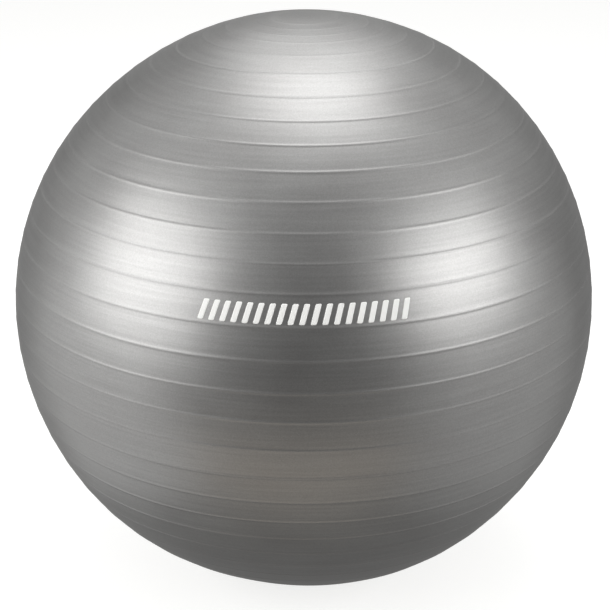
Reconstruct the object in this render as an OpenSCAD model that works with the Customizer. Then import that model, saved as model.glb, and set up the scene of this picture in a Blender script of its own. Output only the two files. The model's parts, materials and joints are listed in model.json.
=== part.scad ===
// Exercise ball: an inflated skin with moulded ribs, a valve seat welded into it,
// the plug that closes the valve, and a printed mark.
// Millimetres, +Z up. The origin is the middle of the flat patch that the ball rests on.
// The print faces -Y and the valve faces +Y.

/* [Ball] */
// Diameter of the inflated ball, over the ribs
ball_d = 750; // [550:10:950]
// Thickness of the stretched skin
skin_t = 0.9; // [0.6:0.1:1.5]
// Radius of the patch that the ball's own weight presses flat
contact_r = 45; // [35:1:60]

/* [Ribs] */
// Angle at the ball's centre from one rib to the next, in degrees
rib_pitch = 5.4; // [4.4:0.1:8]
// Height of a rib above the skin
rib_h = 0.4; // [0.2:0.1:1.5]
// Width of a rib where it rises from the skin
rib_w = 5.5; // [3:0.5:8]
// Latitude past which there are fine rings in place of ribs, in degrees
cap_start = 72; // [60:1:74]
// Angle from one fine ring to the next, in degrees
ring_pitch = 2.9; // [2:0.1:3.5]
// Number of fine rings on each cap
ring_rows = 4; // [2:1:4]
// Height of a fine ring above the skin
ring_h = 0.2; // [0.1:0.1:1]
// Width of a fine ring where it rises from the skin
ring_w = 3.5; // [1.5:0.5:5]

/* [Valve seat] */
// Number of the rib, counted up from the equator, that the valve sits above
valve_rib = 3; // [1:1:8]
// Diameter of the seat's collar, which fills the hole in the skin
collar_d = 24; // [22:1:25]
// Diameter of the seat's flange, welded under the skin
flange_d = 36; // [28:1:44]
// Thickness of the flange
flange_t = 1.5; // [1:0.1:2.5]
// Outside diameter of the seat's tube
tube_d = 15; // [13:0.5:18]
// Length of the tube, from the recess for the plug's head to its inner end
tube_l = 26; // [24:1:36]
// Diameter of the bore that grips the plug
bore_d = 9; // [7:0.5:10]

/* [Valve plug] */
// Diameter of the plug's head
head_d = 18; // [15:0.5:19]
// Thickness of the plug's head at its middle
head_t = 1.8; // [1.2:0.1:2.5]
// Rise of the head's domed top from its rim to its middle
head_rise = 0.7; // [0.3:0.1:1]
// Depth of the middle of the head below the ball's skin
head_sink = 0.3; // [0.2:0.1:0.8]
// Gap round the head, in which a fingernail lifts it
head_gap = 0.5; // [0.3:0.1:1]
// Length of the plug's shank below its head
shank_l = 22; // [16:1:23]
// Depth of the necks between the barbs
barb_h = 0.9; // [0.5:0.1:1.2]
// Length over which a barb tapers to the neck
barb_l = 3.5; // [2:0.5:4]
// Number of barbs on the shank
barbs = 3; // [2:1:4]
// Length of the cone at the shank's tip
tip_l = 2; // [1:0.5:3]
// Diameter of the flat end of the tip
tip_d = 4; // [2:0.5:4.5]
// Gap between the barbs and the bore, on the radius
running_gap = 0.05; // [0.02:0.01:0.1]

/* [Printed mark] */
// Number of the rib, counted up from the equator, that the mark sits above
mark_rib = 3; // [1:1:6]
// Number of bars in the mark
mark_bars = 19; // [9:2:25]
// Distance from one bar to the next, along the ball
mark_step = 12.5; // [9:0.5:14]
// Width of a bar
bar_w = 6.5; // [3:0.5:8]
// Height of a bar
bar_h = 23; // [12:1:24]
// Lean of a bar, in degrees
bar_lean = 15; // [0:1:25]
// Thickness of the ink
ink_t = 0.2; // [0.1:0.1:0.3]

/* [Hidden] */

silver = "#8f9193";
seat_grey = "#6f7173";
plug_white = "#e9e9e4";
ink_white = "#f4f4f2";

round_fn = 360;
small_fn = 96;

skin_r = ball_d / 2 - rib_h;
inner_r = skin_r - skin_t;
centre_z = sqrt(pow(skin_r, 2) - pow(contact_r, 2));

rib_rows = floor(cap_start / rib_pitch);
ring_lats = [for (row = [1:ring_rows]) cap_start + row * ring_pitch];

valve_lat = (valve_rib + 0.5) * rib_pitch;
bore_r = bore_d / 2;
head_r = head_d / 2;
head_top = skin_r - head_sink;
seat_face = head_top - head_t;
barb_r = bore_r - running_gap;
neck_r = barb_r - barb_h;
barb_pitch = shank_l / (barbs + 1);

mark_lat = (mark_rib + 0.5) * rib_pitch;
mark_r = skin_r * cos(mark_lat);
bar_turn = mark_step / mark_r * 180 / PI;

// Radius of the arc that rises to a height over a chord of the given width.
function bead_r(width, height) = (pow(width / 2, 2) + pow(height, 2)) / (2 * height);

// Section of one bead, standing on the skin at a latitude.
module bead(lat, width, height) {
    r = bead_r(width, height);
    rotate(lat)
        translate([skin_r + height - r, 0])
            circle(r = r, $fn = small_fn);
}

// Everything above a level, in the plane of a section.
module above(level) {
    translate([-ball_d, level])
        square([2 * ball_d, 2 * ball_d]);
}

// Outline of the skin's outer face, with its ribs, its fine rings and its flat patch.
module skin_outline() {
    intersection() {
        union() {
            circle(r = skin_r, $fn = round_fn);
            for (row = [-rib_rows:rib_rows])
                bead(row * rib_pitch, rib_w, rib_h);
            for (lat = ring_lats, side = [-1, 1])
                bead(side * lat, ring_w, ring_h);
        }
        above(-centre_z);
    }
}

// Outline of the air inside.
module air_outline() {
    intersection() {
        circle(r = inner_r, $fn = round_fn);
        above(skin_t - centre_z);
    }
}

// Stands its children on the valve's axis, with the ball's centre at their origin.
module on_valve_axis() {
    translate([0, 0, centre_z])
        rotate([valve_lat - 90, 0, 0])
            children();
}

// The one-piece moulded skin, with the hole that the valve seat is welded into.
module ball_shell() {
    color(silver)
        difference() {
            translate([0, 0, centre_z])
                rotate_extrude($fn = round_fn)
                    intersection() {
                        difference() {
                            skin_outline();
                            air_outline();
                        }
                        translate([0, -ball_d])
                            square([ball_d, 2 * ball_d]);
                    }
            on_valve_axis()
                translate([0, 0, inner_r - collar_d])
                    cylinder(d = collar_d, h = 2 * collar_d, $fn = small_fn);
        }
}

// The seat: a collar level with the skin, a flange under the skin, and a tube with the bore.
module valve_seat() {
    color(seat_grey)
        on_valve_axis()
            rotate_extrude($fn = small_fn)
                difference() {
                    union() {
                        intersection() {
                            circle(r = skin_r, $fn = round_fn);
                            translate([0, seat_face - flange_t])
                                square([collar_d / 2, collar_d]);
                        }
                        intersection() {
                            difference() {
                                circle(r = inner_r, $fn = round_fn);
                                circle(r = inner_r - flange_t, $fn = round_fn);
                            }
                            square([flange_d / 2, ball_d]);
                        }
                        translate([0, seat_face - tube_l])
                            square([tube_d / 2, tube_l]);
                    }
                    square([bore_r, ball_d]);
                    translate([0, seat_face])
                        square([head_r + head_gap, ball_d]);
                }
}

// Section of the plug's head: flat below, slightly domed above.
module head_outline() {
    dome_r = bead_r(head_d, head_rise);
    intersection() {
        square([head_r, head_t]);
        translate([0, head_t - dome_r])
            circle(r = dome_r, $fn = round_fn);
    }
}

// Section of the plug's shank: a neck, barbs that taper towards the tip, and a pointed tip.
module shank_outline() {
    barb_points = [
        for (barb = [1:barbs], step = [[neck_r, 0], [barb_r, 0], [neck_r, -barb_l]])
            step - [0, barb * barb_pitch]
    ];
    polygon(concat(
        [[0, head_t / 2], [neck_r, head_t / 2]],
        barb_points,
        [[neck_r, tip_l - shank_l], [tip_d / 2, -shank_l], [0, -shank_l]]
    ));
}

// The plug, with its head resting on the floor of the seat's recess.
module valve_plug() {
    color(plug_white)
        on_valve_axis()
            translate([0, 0, seat_face])
                union() {
                    rotate_extrude($fn = small_fn)
                        head_outline();
                    rotate_extrude($fn = small_fn)
                        shank_outline();
                }
}

// Outline of one slanted bar, about its own middle.
module bar_outline() {
    lean = bar_h / 2 * tan(bar_lean);
    polygon([[-bar_w / 2 - lean, -bar_h / 2], [bar_w / 2 - lean, -bar_h / 2],
             [bar_w / 2 + lean, bar_h / 2], [-bar_w / 2 + lean, bar_h / 2]]);
}

// The mark: a level row of slanted bars of ink, each following the skin that it is printed on.
module printed_mark() {
    color(ink_white)
        translate([0, 0, centre_z])
            intersection() {
                difference() {
                    sphere(r = skin_r + ink_t, $fn = round_fn);
                    sphere(r = skin_r, $fn = round_fn);
                }
                for (bar = [0:mark_bars - 1])
                    rotate([90 - mark_lat, 0, (bar - (mark_bars - 1) / 2) * bar_turn])
                        translate([0, 0, skin_r - bar_h])
                            linear_extrude(height = 2 * bar_h)
                                bar_outline();
            }
}

ball_shell();
valve_seat();
valve_plug();
printed_mark();
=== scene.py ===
"""Exercise ball: a ribbed, inflated PVC skin with its valve seat, plug and printed bars.

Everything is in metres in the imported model's frame: the ball rests on z = 0, the print faces -Y
and the valve faces +Y. Angles are in degrees. A place on the ball is a latitude above the equator
and a longitude from the front, which grows to the right as seen from the front.
"""

import json
import logging
import math
from dataclasses import dataclass, field
from enum import Enum
from typing import Any

import bpy
import numpy as np
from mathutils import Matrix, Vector


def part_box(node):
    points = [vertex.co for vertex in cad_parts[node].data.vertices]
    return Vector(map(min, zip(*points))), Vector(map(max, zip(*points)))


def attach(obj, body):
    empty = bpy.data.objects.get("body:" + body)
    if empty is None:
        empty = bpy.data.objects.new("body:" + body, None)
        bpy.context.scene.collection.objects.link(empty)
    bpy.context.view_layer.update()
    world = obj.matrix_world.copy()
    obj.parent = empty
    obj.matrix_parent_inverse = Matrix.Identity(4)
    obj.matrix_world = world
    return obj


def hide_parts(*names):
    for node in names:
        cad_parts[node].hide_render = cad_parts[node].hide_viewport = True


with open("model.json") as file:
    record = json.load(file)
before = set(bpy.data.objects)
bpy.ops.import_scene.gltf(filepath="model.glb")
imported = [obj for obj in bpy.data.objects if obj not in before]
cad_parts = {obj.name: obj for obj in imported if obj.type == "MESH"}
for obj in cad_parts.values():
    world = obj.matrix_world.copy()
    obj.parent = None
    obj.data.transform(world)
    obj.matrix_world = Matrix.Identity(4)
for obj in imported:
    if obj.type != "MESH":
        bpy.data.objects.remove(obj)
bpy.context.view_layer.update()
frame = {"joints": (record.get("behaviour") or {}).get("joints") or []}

LOG = logging.getLogger("exercise_ball")
MM = 0.001
FRONT = 0.0
BACK = 180.0
CREST = "crest"
# A side of a profile is at least this many times as long as the round that a corner takes of it.
SIDE_OVER_ROUND = 2.2


def linear(colour: str) -> tuple[float, float, float, float]:
    """Turns an sRGB hex colour into linear RGBA.

    Args:
        colour: A colour such as "#B4B2AF".

    Returns:
        Red, green and blue in linear light, and an alpha of 1.
    """
    parts = [int(colour[start : start + 2], 16) / 255 for start in (1, 3, 5)]
    red, green, blue = (c / 12.92 if c <= 0.04045 else ((c + 0.055) / 1.055) ** 2.4 for c in parts)
    return red, green, blue, 1.0


def per_size(millimetres: float) -> float:
    """Gives the texture scale that repeats a pattern once in this many millimetres."""
    return 1 / (millimetres * MM)


def smooth_step(value: np.ndarray, low: float, high: float) -> np.ndarray:
    """Gives a smooth rise from 0 where value is low to 1 where it is high."""
    share = np.clip((value - low) / (high - low), 0, 1)
    return share * share * (3 - 2 * share)


def add_node(
    tree: bpy.types.NodeTree, kind: str, inputs: dict[str | int, Any] | None = None, **settings: Any
) -> bpy.types.Node:
    """Adds a node to a tree, sets it up, and fills its inputs.

    Args:
        tree: The node tree.
        kind: The node's type, such as "ShaderNodeTexNoise".
        inputs: What each input takes: a socket to link from, or a value.
        **settings: The node's own properties.

    Returns:
        The new node.
    """
    node = tree.nodes.new(kind)
    for name, value in settings.items():
        setattr(node, name, value)
    for name, value in (inputs or {}).items():
        if isinstance(value, bpy.types.NodeSocket):
            tree.links.new(value, node.inputs[name])
        else:
            node.inputs[name].default_value = value
    return node


def mesh_object(name: str, vertices: np.ndarray, faces: list[tuple[int, ...]]) -> bpy.types.Object:
    """Makes a smooth-shaded mesh object and puts it in the scene.

    Args:
        name: The object's name.
        vertices: One row of x, y and z for each vertex.
        faces: The vertex numbers of each face, anticlockwise from outside.

    Returns:
        The new object, at the origin.
    """
    mesh = bpy.data.meshes.new(name)
    mesh.from_pydata(vertices.tolist(), [], faces)
    mesh.update()
    mesh.validate()
    mesh.shade_smooth()
    made = bpy.data.objects.new(name, mesh)
    bpy.context.scene.collection.objects.link(made)
    return made


def report(piece: bpy.types.Object, body: str, slot: str, *nodes: str) -> None:
    """Hands a finished piece to the frame, and logs it.

    Args:
        piece: The piece, in its place.
        body: The CAD body that carries it.
        slot: Not used.
        *nodes: The CAD nodes that it stands for.
    """
    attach(piece, body)
    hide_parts(*nodes)
    LOG.info("%s: %d faces, on %s", piece.name, len(piece.data.polygons), body)


class Face(Enum):
    """The two faces of the skin."""

    OUTER = "outer"
    INNER = "inner"


@dataclass(frozen=True)
class Bead:
    """One moulded bead that runs level round the ball."""

    latitude: float
    width: float
    height: float
    steps: int

    def rows(self, radius: float) -> np.ndarray:
        """Gives the latitudes of the bead's rows of vertices on a ball of this radius."""
        half = math.degrees(self.width / 2 / radius)
        return np.linspace(self.latitude - half, self.latitude + half, self.steps + 1)


@dataclass(frozen=True)
class Swell:
    """A broad, shallow rise or dip of the blown-up skin."""

    longitude: float
    latitude: float
    spread: float
    height: float


@dataclass(frozen=True)
class Stretch:
    """A wave of uneven stretch, which shifts the ribs up or down at the front."""

    amount: float
    period: float
    start: float


@dataclass(frozen=True)
class Waver:
    """A wave round the ball in the height of its beads, whose phase differs from bead to bead."""

    share: float
    waves: int
    phase: float


@dataclass
class BallForm:
    """The shape of the blown-up ball, shared by the skin, the print and the valve."""

    rib_pitch: float = 5.4
    rib_count: int = 13
    rib_width: float = 5.4 * MM
    rib_height: float = 0.31 * MM
    cad_rib_height: float = 0.4 * MM
    last_rib_share: float = 0.5
    rib_steps: int = 6
    ring_pitch: float = 2.9
    ring_start: float = 72.0
    ring_count: int = 4
    ring_width: float = 4.0 * MM
    ring_height: float = 0.2 * MM
    ring_steps: int = 4
    clear_of_patch: float = 1.0
    skin: float = 0.9 * MM
    edge_softness: float = 0.6 * MM
    swells: tuple[Swell, ...] = (
        Swell(80, 4, 18, -1.4 * MM),
        Swell(103, 55, 22, 1.5 * MM),
        Swell(-102, 53, 20, -1.8 * MM),
        Swell(-80, 4, 18, 0.9 * MM),
        Swell(-55, -39, 15, 0.8 * MM),
        Swell(-18, -56, 14, -1.4 * MM),
        Swell(40, -50, 15, 1.15 * MM),
    )
    stretches: tuple[Stretch, ...] = (
        Stretch(0.39, 72.0, 1.2),
        Stretch(0.255, 24.0, -9.6),
    )
    wavers: tuple[Waver, ...] = (Waver(0.07, 2, 2.4), Waver(0.05, 5, -4.08))
    # Where a shape dies away: the first value is where it is gone, the second where it is full.
    swells_from_valve: tuple[float, float] = (5, 14)
    swells_from_patch: tuple[float, float] = (-82, -62)
    stretch_from_poles: tuple[float, float] = (-78, -68)
    unstretch_rounds: int = 4
    radius: float = field(init=False)
    centre: Vector = field(init=False)
    contact: float = field(init=False)

    def __post_init__(self) -> None:
        """Takes the ball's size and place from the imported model."""
        low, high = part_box("ball_shell")
        self.radius = (high.x - low.x) / 2 - self.cad_rib_height
        self.centre = Vector(((low.x + high.x) / 2, (low.y + high.y) / 2, high.z - self.radius))
        self.contact = -math.degrees(math.asin(self.centre.z / self.radius))

    @property
    def inner(self) -> float:
        """Radius of the skin's inner face."""
        return self.radius - self.skin

    def ribs(self) -> list[Bead]:
        """Lists the ribs.

        Returns:
            The ribs from the lowest up, of which the outermost two are lower.
        """
        return [
            Bead(
                number * self.rib_pitch,
                self.rib_width,
                self.rib_height * (self.last_rib_share if abs(number) == self.rib_count else 1),
                self.rib_steps,
            )
            for number in range(-self.rib_count, self.rib_count + 1)
        ]

    def rings(self) -> list[Bead]:
        """Lists the fine rings.

        Returns:
            The rings of both caps from the lowest up, without those that the flat patch swallows.
        """
        north = [self.ring_start + row * self.ring_pitch for row in range(1, self.ring_count + 1)]
        south = [-latitude for latitude in north]
        return [
            Bead(latitude, self.ring_width, self.ring_height, self.ring_steps)
            for latitude in sorted(south + north)
            if latitude > self.contact + self.clear_of_patch
        ]

    def directions(self, latitudes: np.ndarray, longitudes: np.ndarray) -> np.ndarray:
        """Gives the unit vectors from the ball's centre to these places.

        Args:
            latitudes: Degrees above the equator.
            longitudes: Degrees from the front, to the right.

        Returns:
            One row of x, y and z for each place.
        """
        rise, turn = np.radians(latitudes), np.radians(longitudes)
        return np.stack(
            [np.sin(turn) * np.cos(rise), -np.cos(turn) * np.cos(rise), np.sin(rise)], axis=-1
        )

    def places(self, directions: np.ndarray) -> tuple[np.ndarray, np.ndarray]:
        """Gives the places that unit vectors from the ball's centre point to.

        Args:
            directions: One row of x, y and z for each place.

        Returns:
            Their latitudes, and their longitudes.
        """
        latitudes = np.degrees(np.arcsin(np.clip(directions[..., 2], -1, 1)))
        longitudes = np.degrees(np.arctan2(directions[..., 0], -directions[..., 1]))
        return latitudes, longitudes

    def swelling(self, latitudes: np.ndarray, longitudes: np.ndarray) -> np.ndarray:
        """Adds up the swells, which die away towards the valve and the flat patch.

        Args:
            latitudes: Degrees above the equator.
            longitudes: Degrees from the front, to the right.

        Returns:
            How far the skin stands out at each place.
        """
        towards = self.directions(latitudes, longitudes)
        total = np.zeros(towards.shape[:-1])
        for swell in self.swells:
            middle = self.directions(np.array(swell.latitude), np.array(swell.longitude))
            angle = np.degrees(np.arccos(np.clip(towards @ middle, -1, 1)))
            total += swell.height * np.exp(-((angle / swell.spread) ** 2))
        valve = np.array(valve_axis())
        from_valve = np.degrees(np.arccos(np.clip(towards @ valve, -1, 1)))
        fade = smooth_step(from_valve, *self.swells_from_valve)
        return total * fade * smooth_step(latitudes, *self.swells_from_patch)

    def heights(self, latitudes: np.ndarray, longitudes: np.ndarray) -> np.ndarray:
        """Gives how far the ribs and the fine rings stand above the skin.

        Args:
            latitudes: Degrees above the equator on the unstretched ball.
            longitudes: Degrees from the front, to the right.

        Returns:
            The height at each place.
        """
        total = np.zeros(np.broadcast(latitudes, longitudes).shape)
        turn = np.radians(longitudes)
        for number, bead in enumerate([*self.ribs(), *self.rings()]):
            half = math.degrees(bead.width / 2 / self.radius)
            across = np.clip((latitudes - bead.latitude) / half, -1, 1)
            uneven = 1 + sum(
                waver.share * np.sin(waver.waves * turn + waver.phase * number)
                for waver in self.wavers
            )
            total += bead.height * (1 + np.cos(math.pi * across)) / 2 * uneven
        return total

    def shift(self, latitudes: np.ndarray, longitudes: np.ndarray) -> np.ndarray:
        """Gives the shift by the uneven stretch, which is most at the front and none at the back.

        Args:
            latitudes: Degrees above the equator on the unstretched ball.
            longitudes: Degrees from the front, to the right.

        Returns:
            How many degrees each place moves up.
        """
        total = np.zeros(np.broadcast(latitudes, longitudes).shape)
        for wave in self.stretches:
            total += wave.amount * np.sin(2 * math.pi * (latitudes - wave.start) / wave.period)
        fade = smooth_step(-np.abs(latitudes), *self.stretch_from_poles)
        return total * fade * np.cos(np.radians(longitudes) / 2) ** 2

    def unstretched(self, latitudes: np.ndarray, longitudes: np.ndarray) -> np.ndarray:
        """Undoes the stretch, by closing in on the latitudes that it shifts to the given ones.

        Args:
            latitudes: Degrees above the equator on the stretched ball.
            longitudes: Degrees from the front, to the right.

        Returns:
            The latitudes on the unstretched ball.
        """
        guess = latitudes
        for _ in range(self.unstretch_rounds):
            guess = latitudes - self.shift(guess, longitudes)
        return guess

    def surface(
        self, latitudes: np.ndarray, longitudes: np.ndarray, face: Face = Face.OUTER, lift: float = 0
    ) -> np.ndarray:
        """Gives points on the skin.

        Args:
            latitudes: Degrees above the equator on the unstretched ball.
            longitudes: Degrees from the front, to the right.
            face: Which face of the skin.
            lift: How far above that face the points lie.

        Returns:
            One row of x, y and z for each place.
        """
        radii = self.swelling(latitudes, longitudes) + lift
        if face is Face.OUTER:
            radii = radii + self.radius + self.heights(latitudes, longitudes)
            floor = 0.0
        else:
            radii = radii + self.inner
            floor = self.skin
        moved = latitudes + self.shift(latitudes, longitudes)
        towards = self.directions(moved, longitudes)
        points = towards * radii[..., None] + np.array(self.centre)
        above = points[..., 2] - floor
        points[..., 2] = floor + (above + np.sqrt(above**2 + self.edge_softness**2)) / 2
        return points


def valve_axis() -> Vector:
    """Gives the unit vector along which the plug is pulled out."""
    return Vector(frame["joints"][0]["axis"]).normalized()


def beside(axis: Vector) -> tuple[Vector, Vector]:
    """Gives the level and the rising direction that stand square to an axis, as seen along it."""
    level = Vector((0, 0, 1)).cross(axis).normalized()
    return level, axis.cross(level)


@dataclass(frozen=True)
class Finish:
    """What every finish has: a name, two tones, how matt it is, and a fine relief."""

    name: str = "finish"
    colour: str = "#FFFFFF"
    shade: str = "#FFFFFF"
    roughness: float = 0.5
    roughness_spread: float = 0.05
    relief_depth: float = 0.03 * MM
    relief_strength: float = 0.3

    def varied(
        self,
        tree: bpy.types.NodeTree,
        tones: bpy.types.NodeSocket,
        gloss: bpy.types.NodeSocket,
        relief: bpy.types.NodeSocket,
    ) -> dict[str | int, Any]:
        """Varies the tone, the roughness and the height of the surface by three patterns.

        Args:
            tree: The material's node tree.
            tones: The pattern that leads from the shade to the colour.
            gloss: The pattern of the roughness.
            relief: The pattern of the height.

        Returns:
            What the shader's colour, roughness and normal take.
        """
        tone = add_node(
            tree, "ShaderNodeMix", {0: tones, 6: linear(self.shade), 7: linear(self.colour)},
            data_type="RGBA",
        ).outputs[2]
        roughness = add_node(
            tree, "ShaderNodeMapRange",
            {"Value": gloss, "To Min": self.roughness - self.roughness_spread,
             "To Max": self.roughness + self.roughness_spread},
        ).outputs["Result"]
        bump = add_node(
            tree, "ShaderNodeBump",
            {"Strength": self.relief_strength, "Distance": self.relief_depth, "Height": relief},
        ).outputs["Normal"]
        return {"Base Color": tone, "Roughness": roughness, "Normal": bump}

    def surface(self, tree: bpy.types.NodeTree) -> bpy.types.Node:
        """Adds the surface's nodes to a tree, and gives its shader."""
        raise NotImplementedError

    def material(self) -> bpy.types.Material:
        """Builds the material.

        Returns:
            The new material.
        """
        made = bpy.data.materials.new(self.name)
        made.use_nodes = True
        tree = made.node_tree
        tree.nodes.clear()
        shader = self.surface(tree)
        add_node(tree, "ShaderNodeOutputMaterial", {"Surface": shader.outputs["BSDF"]})
        return made


@dataclass(frozen=True)
class SilverPvc(Finish):
    """Soft PVC with aluminium pigment, rotation-moulded.

    The flakes lie flat in the satin skin, so it shines like brushed metal with broad, soft-edged
    highlights, and it sparkles faintly from close by. The melt flows round the mould, which leaves
    level streaks and a slightly cloudy tone. The relief is the fine peel of the mould.
    """

    name: str = "silver_pvc_rotomoulded"
    colour: str = "#9B9B9A"
    shade: str = "#929190"
    roughness: float = 0.43
    roughness_spread: float = 0.03
    relief_strength: float = 0.25
    peel_mm: float = 3.0
    cloud_mm: float = 70.0
    streak_mm: float = 130.0
    streak_slimness: float = 42.0
    streak_contrast: tuple[float, float] = (0.3, 0.7)
    streak_depth: float = 0.055
    # Real flakes are 0.05 mm wide. They are drawn this wide, so that the sparkle shows.
    flake_mm: float = 1.3
    flake_depth: float = 0.07
    scuff: float = 0.05

    def surface(self, tree: bpy.types.NodeTree) -> bpy.types.Node:
        """Adds the surface's nodes.

        Args:
            tree: The material's node tree.

        Returns:
            The shader.
        """
        place = add_node(tree, "ShaderNodeTexCoord").outputs["Object"]
        level = add_node(
            tree, "ShaderNodeMapping", {"Vector": place, "Scale": (1, 1, self.streak_slimness)},
            vector_type="POINT",
        ).outputs["Vector"]
        clouds = add_node(
            tree, "ShaderNodeTexNoise",
            {"Vector": place, "Scale": per_size(self.cloud_mm), "Detail": 3.0},
        ).outputs["Fac"]
        streaks = add_node(
            tree, "ShaderNodeTexNoise",
            {"Vector": level, "Scale": per_size(self.streak_mm), "Detail": 5.0},
        ).outputs["Fac"]
        flakes = add_node(
            tree, "ShaderNodeTexVoronoi", {"Vector": place, "Scale": per_size(self.flake_mm)}
        ).outputs["Color"]
        peel = add_node(
            tree, "ShaderNodeTexNoise",
            {"Vector": place, "Scale": per_size(self.peel_mm), "Detail": 2.0},
        ).outputs["Fac"]
        skin = self.varied(tree, tones=clouds, gloss=clouds, relief=peel)
        weak, strong = self.streak_contrast
        streaked = add_node(
            tree, "ShaderNodeMapRange",
            {"Value": streaks, "From Min": weak, "From Max": strong,
             "To Min": 1 - self.streak_depth, "To Max": 1 + self.streak_depth},
        ).outputs["Result"]
        sparkle = add_node(
            tree, "ShaderNodeMapRange",
            {"Value": flakes, "To Min": 1 - self.flake_depth, "To Max": 1 + self.flake_depth},
        ).outputs["Result"]
        gain = add_node(
            tree, "ShaderNodeMath", {0: streaked, 1: sparkle}, operation="MULTIPLY"
        ).outputs[0]
        skin["Base Color"] = add_node(
            tree, "ShaderNodeVectorMath", {0: skin["Base Color"], "Scale": gain}, operation="SCALE"
        ).outputs["Vector"]
        # The ribs' crests rub on the floor, so they are more matt than the skin between them. They
        # look dark in a highlight and pale beside one.
        crest = add_node(tree, "ShaderNodeAttribute", attribute_name=CREST).outputs["Fac"]
        skin["Roughness"] = add_node(
            tree, "ShaderNodeMath", {0: crest, 1: self.scuff, 2: skin["Roughness"]},
            operation="MULTIPLY_ADD",
        ).outputs[0]
        return add_node(tree, "ShaderNodeBsdfPrincipled", {**skin, "Metallic": 1.0})


@dataclass(frozen=True)
class SeatPvc(Finish):
    """Plain grey soft PVC, injection-moulded, with the fine matt grain of its mould."""

    name: str = "grey_pvc_moulded"
    colour: str = "#8E8D8B"
    shade: str = "#7F7E7C"
    roughness: float = 0.5
    roughness_spread: float = 0.06
    relief_depth: float = 0.05 * MM
    relief_strength: float = 0.4
    ior: float = 1.53
    cloud_mm: float = 9.0
    grain_mm: float = 0.7

    def surface(self, tree: bpy.types.NodeTree) -> bpy.types.Node:
        """Adds the surface's nodes.

        Args:
            tree: The material's node tree.

        Returns:
            The shader.
        """
        place = add_node(tree, "ShaderNodeTexCoord").outputs["Object"]
        clouds = add_node(
            tree, "ShaderNodeTexNoise",
            {"Vector": place, "Scale": per_size(self.cloud_mm), "Detail": 3.0},
        ).outputs["Fac"]
        grain = add_node(
            tree, "ShaderNodeTexNoise",
            {"Vector": place, "Scale": per_size(self.grain_mm), "Detail": 2.0},
        ).outputs["Fac"]
        body = self.varied(tree, tones=clouds, gloss=grain, relief=grain)
        return add_node(tree, "ShaderNodeBsdfPrincipled", {**body, "IOR": self.ior})


@dataclass(frozen=True)
class PlugPolyethylene(Finish):
    """Natural polyethylene, injection-moulded: milky white, waxy and faintly see-through."""

    name: str = "white_polyethylene_moulded"
    colour: str = "#E9E8E2"
    shade: str = "#DDDBD2"
    roughness: float = 0.36
    ior: float = 1.51
    flow_mm: float = 6.0
    flow_distortion: float = 0.6
    ripple_mm: float = 1.4
    scatter: float = 0.15
    scatter_depth: float = 1.5 * MM
    scatter_tint: tuple[float, float, float] = (1.0, 1.0, 0.9)

    def surface(self, tree: bpy.types.NodeTree) -> bpy.types.Node:
        """Adds the surface's nodes.

        Args:
            tree: The material's node tree.

        Returns:
            The shader.
        """
        place = add_node(tree, "ShaderNodeTexCoord").outputs["Object"]
        flow = add_node(
            tree, "ShaderNodeTexNoise",
            {"Vector": place, "Scale": per_size(self.flow_mm), "Detail": 3.0,
             "Distortion": self.flow_distortion},
        ).outputs["Fac"]
        ripple = add_node(
            tree, "ShaderNodeTexNoise",
            {"Vector": place, "Scale": per_size(self.ripple_mm), "Detail": 1.0},
        ).outputs["Fac"]
        body = self.varied(tree, tones=flow, gloss=flow, relief=ripple)
        return add_node(
            tree, "ShaderNodeBsdfPrincipled",
            {**body, "IOR": self.ior, "Subsurface Weight": self.scatter,
             "Subsurface Radius": self.scatter_tint, "Subsurface Scale": self.scatter_depth},
        )


@dataclass(frozen=True)
class ScreenInk(Finish):
    """White vinyl ink, screen-printed: flat and nearly matt, with the faint weave of the screen."""

    name: str = "white_vinyl_ink_screen_printed"
    colour: str = "#F6F6F4"
    shade: str = "#EDEDEA"
    roughness: float = 0.55
    relief_depth: float = 0.02 * MM
    ior: float = 1.5
    density_mm: float = 5.0
    # A screen's threads are 0.1 mm apart. They are drawn this far apart, so that the weave shows.
    thread_mm: float = 1.0
    thread_scatter: float = 0.3

    def surface(self, tree: bpy.types.NodeTree) -> bpy.types.Node:
        """Adds the surface's nodes.

        Args:
            tree: The material's node tree.

        Returns:
            The shader.
        """
        place = add_node(tree, "ShaderNodeTexCoord").outputs["Object"]
        threads = add_node(
            tree, "ShaderNodeTexVoronoi",
            {"Vector": place, "Scale": per_size(self.thread_mm), "Randomness": self.thread_scatter},
        ).outputs["Distance"]
        density = add_node(
            tree, "ShaderNodeTexNoise",
            {"Vector": place, "Scale": per_size(self.density_mm), "Detail": 4.0},
        ).outputs["Fac"]
        ink = self.varied(tree, tones=density, gloss=density, relief=threads)
        return add_node(tree, "ShaderNodeBsdfPrincipled", {**ink, "IOR": self.ior})


@dataclass(frozen=True)
class SweepPaper(Finish):
    """White paper off a studio roll: plain and matt, with a glow that evens out its tone."""

    name: str = "white_paper_sweep"
    colour: str = "#A8A8A7"
    roughness: float = 0.9
    light: str = "#F6F6F5"
    glow: float = 0.8

    def surface(self, tree: bpy.types.NodeTree) -> bpy.types.Node:
        """Adds the surface's nodes.

        Args:
            tree: The material's node tree.

        Returns:
            The shader.
        """
        return add_node(
            tree, "ShaderNodeBsdfPrincipled",
            {"Base Color": linear(self.colour), "Roughness": self.roughness,
             "Emission Color": linear(self.light), "Emission Strength": self.glow},
        )


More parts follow.
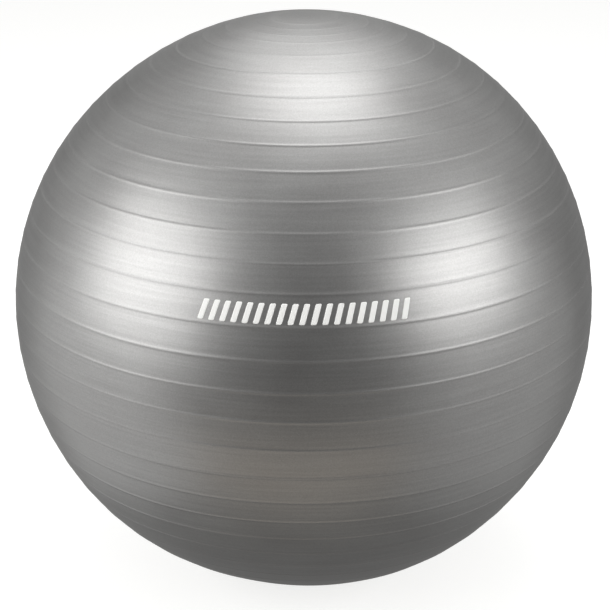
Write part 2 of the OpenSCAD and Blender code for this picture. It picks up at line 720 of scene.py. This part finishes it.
@dataclass
class BallSkin:
    """The one-piece skin: a closed thin shell with ribs and rings, and a hole for the valve seat.

    Each face is a grid of rows and columns. A window in it, round the valve, is filled with rings
    that turn from the window's square outline to the round hole.
    """

    form: BallForm
    finish: SilverPvc = field(default_factory=SilverPvc)
    column_step: float = 1.8
    foot: float = 0.22
    pole_rows: tuple[float, float] = (87.0, 88.5)
    cap_row: float = 85.5
    patch_rows: int = 10
    below_patch_edge: float = 2.0
    above_patch_edge: float = 1.6
    inner_step: float = 5.4
    inner_rows_each_way: int = 16
    inner_clearance: float = 1.2
    inner_border: float = 0.8
    window_half: float = 3.0
    window_cells: int = 12
    outer_rings: int = 4
    inner_rings: int = 2
    hole: float = 12.0 * MM
    rim: float = 0.35 * MM
    # Rings round the rim's edge: distance from the hole and depth, both as shares of the rim.
    rim_curve: tuple[tuple[float, float], ...] = ((0.4, 0.2), (0.1, 0.6), (0.0, 1.0))
    vertices: list[np.ndarray] = field(init=False, default_factory=list)
    faces: list[tuple[int, ...]] = field(init=False, default_factory=list)
    crests: list[np.ndarray] = field(init=False, default_factory=list)
    count: int = field(init=False, default=0)

    def columns(self) -> np.ndarray:
        """Lists the longitudes of the columns.

        Returns:
            The longitudes, which start with those in the window round the valve.
        """
        near = np.linspace(BACK - self.window_half, BACK + self.window_half, self.window_cells + 1)
        spare = 360 - 2 * self.window_half
        far = near[-1] + np.linspace(0, spare, round(spare / self.column_step) + 1)[1:-1]
        return np.concatenate([near, far])

    def window(self) -> tuple[float, float]:
        """Finds the band between two ribs that holds the valve.

        Returns:
            The latitudes of the window's lower and upper edges.
        """
        latitude = math.degrees(math.asin(valve_axis().z))
        below = math.floor(latitude / self.form.rib_pitch)
        ribs = [bead.rows(self.form.radius) for bead in self.form.ribs()]
        first = ribs[below + self.form.rib_count][-1]
        last = ribs[below + self.form.rib_count + 1][0]
        return first, last

    def outer_rows(self) -> np.ndarray:
        """Lists the rows of the outer face, close together on beads and in the window.

        Returns:
            The latitudes from the lowest up.
        """
        low, high = self.window()
        beads = sorted([*self.form.ribs(), *self.form.rings()], key=lambda bead: bead.latitude)
        blocks = [bead.rows(self.form.radius) for bead in beads]
        edge = self.form.contact
        patch = np.linspace(
            edge - self.below_patch_edge, edge + self.above_patch_edge, self.patch_rows
        )
        rows = [-np.array(self.pole_rows[::-1]), patch]
        for before, after in zip([patch, *blocks], blocks):
            start, end = before[-1], after[0]
            if math.isclose(start, low):
                rows.append(np.linspace(start, end, self.window_cells + 1)[1:-1])
            else:
                # The rows beside each foot keep the shading of the plain skin level up to the bead.
                rows.append(np.array([start + self.foot, (start + end) / 2, end - self.foot]))
            rows.append(after)
        rows.append(np.array([blocks[-1][-1] + self.foot, self.cap_row, *self.pole_rows]))
        return np.concatenate(rows)

    def inner_rows(self) -> np.ndarray:
        """Lists the rows of the inner face, which are close together only in the window.

        Returns:
            The latitudes from the lowest up.
        """
        low, high = self.window()
        each_way = self.inner_rows_each_way
        wide = np.arange(-each_way, each_way + 1) * self.inner_step
        wide = wide[(wide < low - self.inner_clearance) | (wide > high + self.inner_clearance)]
        near = np.linspace(low, high, self.window_cells + 1)
        border = [low - self.inner_border, high + self.inner_border]
        return np.sort(np.concatenate([wide, near, border]))

    def add(self, points: np.ndarray, crests: np.ndarray | None = None) -> int:
        """Adds vertices.

        Args:
            points: One row of x, y and z for each vertex.
            crests: How near each one is to the crest of a rib, from 0 to 1. None is 0 for all.

        Returns:
            The number of the first vertex.
        """
        first = self.count
        self.vertices.append(points.reshape(-1, 3))
        self.count += len(self.vertices[-1])
        self.crests.append(np.zeros(self.count - first) if crests is None else crests)
        return first

    def face(self, *corners: int, face: Face) -> None:
        """Adds a face whose corners run anticlockwise from outside, and turns it on the inner face."""
        self.faces.append(corners if face is Face.OUTER else corners[::-1])

    def bridge(self, outside: list[int], inside: list[int], face: Face) -> None:
        """Joins two loops of vertices with a band of faces.

        Args:
            outside: The wider loop, anticlockwise from outside the ball.
            inside: The loop within it, which runs the same way.
            face: Which face of the skin.
        """
        count = len(outside)
        for here in range(count):
            after = (here + 1) % count
            self.face(outside[here], outside[after], inside[after], inside[here], face=face)

    def grid(self, rows: np.ndarray, face: Face) -> list[int]:
        """Builds one face of the skin round its window.

        Args:
            rows: The latitudes of the rows.
            face: Which face.

        Returns:
            The vertices round the window, anticlockwise from outside from its lower left corner.
        """
        columns = self.columns()
        low, high = self.window()
        first_row = int(np.argmin(np.abs(rows - low)))
        last_row = int(np.argmin(np.abs(rows - high)))
        cells = self.window_cells
        latitudes, longitudes = np.meshgrid(rows, columns, indexing="ij")
        inside = np.zeros(latitudes.shape, bool)
        inside[first_row + 1 : last_row, 1:cells] = True
        numbers = np.full(latitudes.shape, -1)
        numbers[~inside] = np.arange((~inside).sum())
        points = self.form.surface(latitudes, longitudes, face)
        crests = np.clip(self.form.heights(latitudes, longitudes) / self.form.rib_height, 0, 1)
        numbers[~inside] += self.add(points[~inside], crests[~inside])
        wide = len(columns)
        for row in range(len(rows) - 1):
            for column in range(wide):
                if first_row <= row < last_row and column < cells:
                    continue
                right = (column + 1) % wide
                self.face(
                    numbers[row, column], numbers[row, right], numbers[row + 1, right],
                    numbers[row + 1, column], face=face,
                )
        poles = self.add(self.form.surface(np.array([-90.0, 90.0]), np.array([0.0, 0.0]), face))
        for column in range(wide):
            right = (column + 1) % wide
            self.face(poles, numbers[0, right], numbers[0, column], face=face)
            self.face(poles + 1, numbers[-1, column], numbers[-1, right], face=face)
        bottom = [numbers[first_row, column] for column in range(cells)]
        right_side = [numbers[row, cells] for row in range(first_row, last_row)]
        top = [numbers[last_row, column] for column in range(cells, 0, -1)]
        left_side = [numbers[row, 0] for row in range(last_row, first_row, -1)]
        return bottom + right_side + top + left_side

    def circle(self, radius: float, depth: float, face: Face) -> np.ndarray:
        """Gives a ring of points round the valve's axis, which start at its lower left.

        Args:
            radius: The ring's radius.
            depth: How far below the face the ring lies.
            face: Which face of the skin.

        Returns:
            One row of x, y and z for each point.
        """
        count = 4 * self.window_cells
        turns = math.radians(-135) + np.arange(count) * 2 * math.pi / count
        axis = valve_axis()
        level, rising = (np.array(side) for side in beside(axis))
        base = self.form.radius if face is Face.OUTER else self.form.inner
        out = np.sqrt(base**2 - radius**2) - depth
        ring = np.cos(turns)[:, None] * level + np.sin(turns)[:, None] * rising
        return np.array(self.form.centre) + np.array(axis) * out + ring * radius

    def morph(self, loop: list[int], ring: np.ndarray, steps: int, face: Face) -> list[int]:
        """Fills the band between the window's edge and a ring.

        Args:
            loop: The vertices of the window's edge.
            ring: The points of the ring.
            steps: How many bands of faces lie between them.
            face: Which face of the skin.

        Returns:
            The ring's vertices.
        """
        centre = np.array(self.form.centre)
        edge = np.concatenate(self.vertices)[loop] - centre
        goal = ring - centre
        before = loop
        for step in range(1, steps + 1):
            share = step / steps
            mixed = edge * (1 - share) + goal * share
            reach = np.linalg.norm(edge, axis=1) * (1 - share) + np.linalg.norm(goal, axis=1) * share
            mixed *= (reach / np.linalg.norm(mixed, axis=1))[:, None]
            first = self.add(mixed + centre)
            after = list(range(first, first + len(loop)))
            self.bridge(before, after, face)
            before = after
        return before

    def build(self) -> bpy.types.Object:
        """Builds the skin, and dresses it.

        Returns:
            The skin's object.
        """
        outside = self.grid(self.outer_rows(), Face.OUTER)
        wide_ring = self.circle(self.hole + self.rim, 0, Face.OUTER)
        outside = self.morph(outside, wide_ring, self.outer_rings, Face.OUTER)
        for spread, depth in self.rim_curve:
            ring = self.circle(self.hole + spread * self.rim, depth * self.rim, Face.OUTER)
            first = self.add(ring)
            after = list(range(first, first + len(outside)))
            self.bridge(outside, after, Face.OUTER)
            outside = after
        inside = self.grid(self.inner_rows(), Face.INNER)
        narrow_ring = self.circle(self.hole, 0, Face.INNER)
        inside = self.morph(inside, narrow_ring, self.inner_rings, Face.INNER)
        self.bridge(outside, inside, Face.OUTER)
        piece = mesh_object("ball_skin", np.concatenate(self.vertices), self.faces)
        crest = piece.data.attributes.new(CREST, "FLOAT", "POINT")
        crest.data.foreach_set("value", np.concatenate(self.crests).astype(np.float32))
        piece.data.materials.append(self.finish.material())
        return piece


@dataclass
class PrintedBars:
    """The print: a level row of slanted bars of ink that follow the skin between two ribs."""

    form: BallForm
    finish: ScreenInk = field(default_factory=ScreenInk)
    above_rib: int = 3
    bars: int = 19
    step: float = 12.5 * MM
    width: float = 6.5 * MM
    height: float = 23.0 * MM
    lean: float = 15.0
    corner: float = 0.9 * MM
    ink: float = 0.2 * MM
    sunk: float = 0.15 * MM
    cells: tuple[int, int] = (6, 20)

    def outline_points(self) -> np.ndarray:
        """Lays out one flat bar.

        Returns:
            A grid of points across and along the bar, with its corners drawn in.
        """
        across = np.linspace(-1, 1, self.cells[0] + 1)
        along = np.linspace(-1, 1, self.cells[1] + 1)
        u, v = np.meshgrid(across, along)
        half = Vector((self.width / 2, self.height / 2))
        # Near an end, the sides draw in along a quarter circle.
        over = np.clip((np.abs(v) * half.y - (half.y - self.corner)) / self.corner, 0, 1)
        inset = self.corner * (1 - np.sqrt(1 - over**2))
        x = u * (half.x - inset)
        y = v * half.y
        return np.stack([x + y * math.tan(math.radians(self.lean)), y], axis=-1)

    def bar(self, number: int) -> tuple[np.ndarray, list[tuple[int, ...]]]:
        """Builds the closed slab of one bar.

        Args:
            number: The bar's number, from the left.

        Returns:
            Its vertices, and its faces.
        """
        latitude = (self.above_rib + 0.5) * self.form.rib_pitch
        turn = math.degrees(self.step / (self.form.radius * math.cos(math.radians(latitude))))
        longitude = FRONT + (number - (self.bars - 1) / 2) * turn
        middle = Vector(self.form.directions(np.array(latitude), np.array(longitude)))
        level, rising = beside(middle)
        flat = self.outline_points()
        towards = (
            np.array(middle)
            + flat[..., :1] / self.form.radius * np.array(level)
            + flat[..., 1:] / self.form.radius * np.array(rising)
        )
        towards /= np.linalg.norm(towards, axis=-1, keepdims=True)
        latitudes, longitudes = self.form.places(towards)
        latitudes = self.form.unstretched(latitudes, longitudes)
        rows, columns = latitudes.shape
        top = self.form.surface(latitudes, longitudes, lift=self.ink)
        base = self.form.surface(latitudes, longitudes, lift=-self.sunk)
        number_of = np.arange(rows * columns).reshape(rows, columns)
        below = number_of + rows * columns
        faces = []
        for row in range(rows - 1):
            for column in range(columns - 1):
                corners = (
                    (row, column), (row, column + 1), (row + 1, column + 1), (row + 1, column)
                )
                faces.append(tuple(int(number_of[corner]) for corner in corners))
                faces.append(tuple(int(below[corner]) for corner in reversed(corners)))
        edge = (
            [(0, column) for column in range(columns - 1)]
            + [(row, columns - 1) for row in range(rows - 1)]
            + [(rows - 1, column) for column in range(columns - 1, 0, -1)]
            + [(row, 0) for row in range(rows - 1, 0, -1)]
        )
        for here, after in zip(edge, edge[1:] + edge[:1]):
            faces.append(
                (int(below[here]), int(below[after]), int(number_of[after]), int(number_of[here]))
            )
        return np.concatenate([top.reshape(-1, 3), base.reshape(-1, 3)]), faces

    def build(self) -> bpy.types.Object:
        """Builds the row of bars, and dresses it.

        Returns:
            The object of all the bars.
        """
        vertices = []
        faces = []
        first = 0
        for number in range(self.bars):
            points, corners = self.bar(number)
            vertices.append(points)
            faces += [tuple(first + corner for corner in face) for face in corners]
            first += len(points)
        piece = mesh_object("printed_bars", np.concatenate(vertices), faces)
        piece.data.materials.append(self.finish.material())
        return piece


def lathe(
    name: str, form: BallForm, profile: list[tuple[float, float]], segments: int, closed: bool
) -> bpy.types.Object:
    """Turns a profile about the valve's axis.

    Args:
        name: The object's name.
        form: The ball, whose centre lies on the axis.
        profile: Radius and distance from the ball's centre, so that its solid lies on the left.
        segments: How many flats make up the full turn.
        closed: Whether the profile is a loop. Otherwise both ends lie on the axis.

    Returns:
        The new object.
    """
    axis = valve_axis()
    level, rising = (np.array(side) for side in beside(axis))
    turns = np.arange(segments) * 2 * math.pi / segments
    around = np.cos(turns)[:, None] * level + np.sin(turns)[:, None] * rising
    rings = profile if closed else profile[1:-1]
    centre = np.array(form.centre)
    points = [centre + np.array(axis) * out + around * radius for radius, out in rings]
    faces = []
    for here in range(len(rings) if closed else len(rings) - 1):
        after = (here + 1) % len(rings)
        for turn in range(segments):
            ahead = (turn + 1) % segments
            faces.append(
                (here * segments + turn, here * segments + ahead, after * segments + ahead,
                 after * segments + turn)
            )
    if not closed:
        tip, top = len(rings) * segments, len(rings) * segments + 1
        points.append(np.array([centre + np.array(axis) * profile[end][1] for end in (0, -1)]))
        last = (len(rings) - 1) * segments
        for turn in range(segments):
            ahead = (turn + 1) % segments
            faces.append((tip, ahead, turn))
            faces.append((top, last + turn, last + ahead))
    return mesh_object(name, np.concatenate(points), faces)


def rounded(
    points: list[tuple[float, float, float]], steps: int = 3, closed: bool = False
) -> list[tuple[float, float]]:
    """Rounds the corners of a profile.

    Args:
        points: Radius, distance along the axis, and how much of each side the corner's round takes.
        steps: How many flats make up each round.
        closed: Whether the last point joins the first.

    Returns:
        The profile with its rounds.
    """
    made: list[tuple[float, float]] = []
    count = len(points)
    for number, (x, y, size) in enumerate(points):
        at_end = not closed and number in (0, count - 1)
        if at_end or size == 0:
            made.append((x, y))
            continue
        corner = Vector((x, y))
        before = Vector(points[number - 1][:2])
        after = Vector(points[(number + 1) % count][:2])
        back, onward = before - corner, after - corner
        start = corner + back.normalized() * min(size, back.length / SIDE_OVER_ROUND)
        end = corner + onward.normalized() * min(size, onward.length / SIDE_OVER_ROUND)
        for step in range(steps + 1):
            share = step / steps
            bent = start * (1 - share) ** 2 + corner * 2 * share * (1 - share) + end * share**2
            made.append((bent.x, bent.y))
    return made


@dataclass
class ValveSeat:
    """The seat: a collar level with the skin, a flange welded under it, and the tube with the bore."""

    form: BallForm
    finish: SeatPvc = field(default_factory=SeatPvc)
    collar: float = 11.96 * MM
    recess: float = 9.5 * MM
    bore: float = 4.5 * MM
    tube: float = 7.5 * MM
    tube_length: float = 26.0 * MM
    flange: float = 18.0 * MM
    flange_thickness: float = 1.5 * MM
    face_depth: float = 2.1 * MM
    weld_gap: float = 0.02 * MM
    segments: int = 96

    def profile(self) -> list[tuple[float, float]]:
        """Draws the seat's section.

        Returns:
            A loop of points with the solid on its left.
        """
        face = self.form.radius - self.face_depth
        end = face - self.tube_length
        top = math.sqrt(self.form.radius**2 - self.collar**2)
        lip = math.sqrt(self.form.radius**2 - self.recess**2)
        skin = self.form.inner - self.weld_gap
        flange_top = [math.sqrt(skin**2 - radius**2) for radius in (self.collar, self.flange)]
        low = skin - self.flange_thickness
        flange_low = [math.sqrt(low**2 - radius**2) for radius in (self.tube, self.flange)]
        return rounded(
            [
                (self.bore, end, 0.4 * MM),
                (self.tube, end, 0.6 * MM),
                (self.tube, flange_low[0], 1.2 * MM),
                (self.flange, flange_low[1], 0.5 * MM),
                (self.flange, flange_top[1], 0.4 * MM),
                (self.collar, flange_top[0], 0.2 * MM),
                (self.collar, top, 0.35 * MM),
                (self.recess, lip, 0.35 * MM),
                (self.recess, face, 0.4 * MM),
                (self.bore, face, 0.5 * MM),
            ],
            closed=True,
        )

    def build(self) -> bpy.types.Object:
        """Builds the seat, and dresses it.

        Returns:
            The seat's object.
        """
        piece = lathe("valve_seat_collar", self.form, self.profile(), self.segments, closed=True)
        piece.data.materials.append(self.finish.material())
        return piece


@dataclass
class ValvePlug:
    """The plug: a slightly domed head and a shank with three barbs that grip the bore."""

    form: BallForm
    finish: PlugPolyethylene = field(default_factory=PlugPolyethylene)
    head: float = 9.0 * MM
    head_thickness: float = 1.8 * MM
    head_rise: float = 0.7 * MM
    face_depth: float = 2.1 * MM
    shank: float = 22.0 * MM
    barb: float = 4.45 * MM
    neck: float = 3.55 * MM
    barb_length: float = 3.5 * MM
    barbs: int = 3
    tip: float = 2.0 * MM
    tip_length: float = 2.0 * MM
    dimple: float = 1.6 * MM
    dimple_depth: float = 0.3 * MM
    dimple_floor: float = 0.7
    dome_steps: tuple[float, ...] = (0.75, 0.45)
    segments: int = 96

    def profile(self) -> list[tuple[float, float]]:
        """Draws the plug's section.

        Returns:
            The points from the tip to the top, both on the axis.
        """
        face = self.form.radius - self.face_depth
        pitch = self.shank / (self.barbs + 1)
        points = [
            (0, face - self.shank, 0),
            (self.tip, face - self.shank, 0.4 * MM),
            (self.neck, face - self.shank + self.tip_length, 0.3 * MM),
        ]
        for barb in range(self.barbs, 0, -1):
            ledge = face - barb * pitch
            points.append((self.neck, ledge - self.barb_length, 0.3 * MM))
            points.append((self.barb, ledge, 0.15 * MM))
            points.append((self.neck, ledge, 0.25 * MM))
        dome = (self.head**2 + self.head_rise**2) / (2 * self.head_rise)
        top = face + self.head_thickness

        def on_dome(radius: float) -> float:
            """Gives the height of the head's top at a radius."""
            return top - dome + math.sqrt(dome**2 - radius**2)

        points += [
            (self.neck, face, 0.3 * MM),
            (self.head, face, 0.25 * MM),
            (self.head, on_dome(self.head), 0.45 * MM),
        ]
        for share in self.dome_steps:
            points.append((self.head * share, on_dome(self.head * share), 0.5 * MM))
        points += [
            (self.dimple, on_dome(self.dimple), 0.2 * MM),
            (self.dimple * self.dimple_floor, top - self.dimple_depth, 0.3 * MM),
            (0, top - self.dimple_depth, 0),
        ]
        return rounded(points)

    def build(self) -> bpy.types.Object:
        """Builds the plug, and dresses it.

        Returns:
            The plug's object.
        """
        piece = lathe("valve_plug_barbed", self.form, self.profile(), self.segments, closed=False)
        piece.data.materials.append(self.finish.material())
        return piece


@dataclass(frozen=True)
class Softbox:
    """A rectangular light that faces the ball's centre. The camera doesn't see it."""

    name: str
    longitude: float
    latitude: float
    distance: float
    width: float
    height: float
    watts: float
    tint: str = "#FFFFFF"


@dataclass
class Studio:
    """The pale floor, the softboxes, the backdrop and the camera."""

    form: BallForm
    paper: SweepPaper = field(default_factory=SweepPaper)
    floor_radius: float = 14.0
    floor_segments: int = 96
    backdrop: str = "#F3F3F2"
    wall_light: float = 0.261
    front_light: float = 0.094
    front_spread: tuple[float, float] = (0.55, 0.97)
    ceiling_light: float = 0.296
    ceiling_spread: tuple[float, float] = (-0.1, 1.0)
    camera_latitude: float = 21.668
    camera_distance: float = 2.0646
    camera_lens: float = 92.23
    camera_sensor: float = 36.0
    aim_down: float = 9.3 * MM
    aim_right: float = 0.4 * MM
    softboxes: tuple[Softbox, ...] = (
        Softbox("left", -61.2, 19.5, 2.6, 2.06, 1.82, 44.4),
        Softbox("right", 59.7, 19.9, 2.6, 1.87, 1.36, 34.1),
        Softbox("top", 178.5, 64.3, 2.6, 1.65, 2.37, 15.5),
        Softbox("low_left", -81.9, -25.4, 2.6, 3.2, 2.8, 21.1),
        Softbox("low_right", 80.9, -24.7, 2.6, 3.2, 2.9, 12.7),
        Softbox("low_front", -3.8, -44.4, 2.6, 3.2, 0.87, 5.4, "#FFF0DC"),
        Softbox("back_left", -101.4, 31.9, 2.8, 3.12, 3.2, 11.2),
        Softbox("back_right", 109.4, 41.5, 2.8, 3.2, 2.53, 7.4),
        Softbox("top_left", -110.8, 79.6, 2.6, 1.78, 1.35, 6.9),
        Softbox("top_right", 117.3, 80.9, 2.6, 1.48, 1.37, 15.1),
    )

    def lights(self) -> None:
        """Sets up the softboxes, which the camera doesn't see."""
        for box in self.softboxes:
            light = bpy.data.lights.new(box.name, "AREA")
            light.shape = "RECTANGLE"
            light.size = box.width
            light.size_y = box.height
            light.energy = box.watts
            light.color = linear(box.tint)[:3]
            lamp = bpy.data.objects.new(f"softbox_{box.name}", light)
            place = np.array(box.latitude), np.array(box.longitude)
            towards = Vector(self.form.directions(*place))
            lamp.location = self.form.centre + towards * box.distance
            lamp.rotation_mode = "QUATERNION"
            lamp.rotation_quaternion = (-towards).to_track_quat("-Z", "Y")
            lamp.visible_camera = False
            bpy.context.scene.collection.objects.link(lamp)

    def world(self) -> None:
        """Sets up the soft light of the room, and the pale backdrop that the camera sees."""
        world = bpy.data.worlds.new("studio")
        bpy.context.scene.world = world
        world.use_nodes = True
        tree = world.node_tree
        tree.nodes.clear()
        ray = add_node(tree, "ShaderNodeTexCoord").outputs["Generated"]
        rise = add_node(tree, "ShaderNodeSeparateXYZ", {"Vector": ray}).outputs["Z"]
        low, high = self.ceiling_spread
        ceiling = add_node(
            tree, "ShaderNodeMapRange",
            {"Value": rise, "From Min": low, "From Max": high, "To Max": self.ceiling_light},
            interpolation_type="SMOOTHSTEP",
        ).outputs["Result"]
        front = self.form.directions(np.array(self.camera_latitude), np.array(FRONT))
        ahead = add_node(
            tree, "ShaderNodeVectorMath", {0: ray, 1: tuple(front)}, operation="DOT_PRODUCT"
        ).outputs["Value"]
        edge, middle = self.front_spread
        walls = add_node(
            tree, "ShaderNodeMapRange",
            {"Value": ahead, "From Min": edge, "From Max": middle, "To Min": self.wall_light,
             "To Max": self.front_light},
            interpolation_type="SMOOTHSTEP",
        ).outputs["Result"]
        light = add_node(
            tree, "ShaderNodeMath", {0: ceiling, 1: walls}, operation="ADD"
        ).outputs["Value"]
        room = add_node(tree, "ShaderNodeBackground", {"Color": (1, 1, 1, 1), "Strength": light})
        seen = add_node(
            tree, "ShaderNodeBackground", {"Color": linear(self.backdrop), "Strength": 1.0}
        )
        camera_ray = add_node(tree, "ShaderNodeLightPath").outputs["Is Camera Ray"]
        both = add_node(
            tree, "ShaderNodeMixShader",
            {0: camera_ray, 1: room.outputs["Background"], 2: seen.outputs["Background"]},
        )
        add_node(tree, "ShaderNodeOutputWorld", {"Surface": both.outputs["Shader"]})

    def floor(self) -> None:
        """Lays the pale paper floor, on which the ball leaves only a soft shadow."""
        count = self.floor_segments
        turns = np.arange(count) * 2 * math.pi / count
        circle = np.stack([np.cos(turns), np.sin(turns), np.zeros(count)], axis=-1)
        paper = mesh_object("paper_floor", circle * self.floor_radius, [tuple(range(count))])
        material = self.paper.material()
        # The glow lights nothing else.
        material.cycles.emission_sampling = "NONE"
        paper.data.materials.append(material)
        # The low softboxes stand below the floor and shine through it, as if it were a glass table.
        paper.visible_shadow = False
        paper.visible_glossy = False
        paper.visible_diffuse = False

    def camera(self) -> None:
        """Sets up the camera."""
        lens = bpy.data.cameras.new("camera")
        lens.sensor_width = self.camera_sensor
        lens.lens = self.camera_lens
        camera = bpy.data.objects.new("camera", lens)
        back = Vector(self.form.directions(np.array(self.camera_latitude), np.array(FRONT)))
        level, rising = beside(back)
        camera.location = self.form.centre + back * self.camera_distance
        aim = self.form.centre - rising * self.aim_down + level * self.aim_right
        camera.rotation_mode = "QUATERNION"
        camera.rotation_quaternion = (aim - camera.location).to_track_quat("-Z", "Y")
        bpy.context.scene.collection.objects.link(camera)
        bpy.context.scene.camera = camera

    def build(self) -> None:
        """Sets up the whole studio."""
        self.lights()
        self.world()
        self.floor()
        self.camera()
        bpy.context.scene.view_settings.view_transform = "Standard"


def main() -> None:
    """Builds the ball and its studio."""
    logging.basicConfig(level=logging.INFO, format="%(name)s: %(message)s")
    form = BallForm()
    report(BallSkin(form).build(), "ball", "skin", "ball_shell")
    report(PrintedBars(form).build(), "ball", "ink", "printed_mark")
    report(ValveSeat(form).build(), "ball", "seat", "valve_seat")
    report(ValvePlug(form).build(), "plug", "plug", "valve_plug")
    Studio(form).build()


if __name__ == "__main__":
    main()
